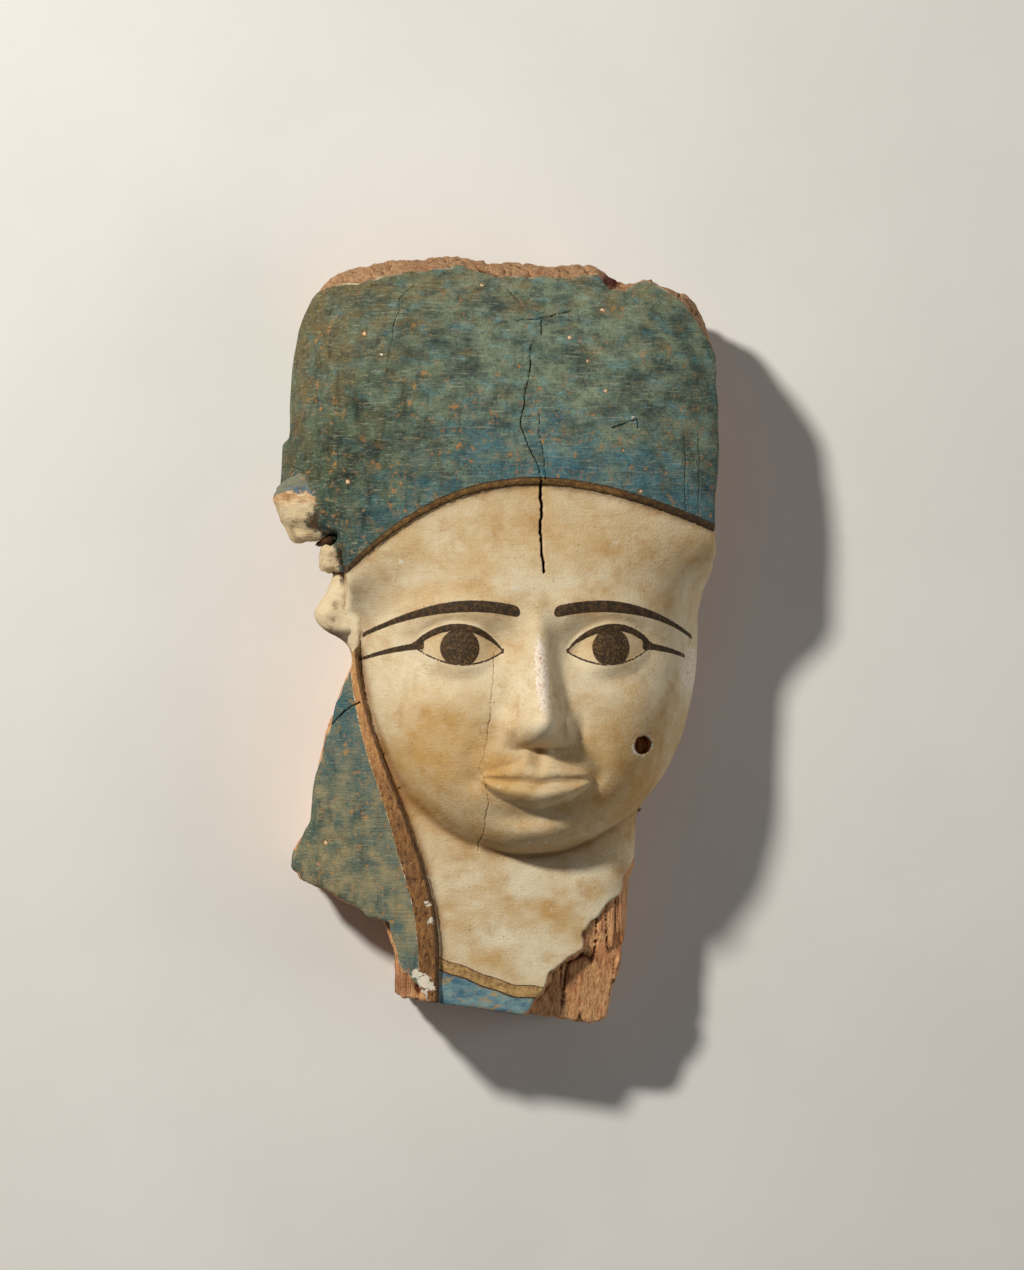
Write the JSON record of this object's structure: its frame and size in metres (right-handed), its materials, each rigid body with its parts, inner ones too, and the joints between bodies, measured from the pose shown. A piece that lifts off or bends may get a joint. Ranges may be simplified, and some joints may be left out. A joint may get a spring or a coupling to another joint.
{
  "type": "mummy mask",
  "caption": "Carved, gessoed and painted wooden mummy mask with a plain wig, hollowed behind and lying on its back, with broken crown, ear, side and foot.",
  "frame": {"origin": "middle of the footprint, on the flat back rim that the mask lies on", "axes": "+X to the right as one looks at the face, +Y from the foot to the crown, +Z out of the face"},
  "size_m": [0.2348, 0.41, 0.1414],
  "materials": {
    "painted_gesso": "matte"
  },
  "bodies": {
    "root": {"mask": "painted_gesso"}
  },
  "joints": []
}
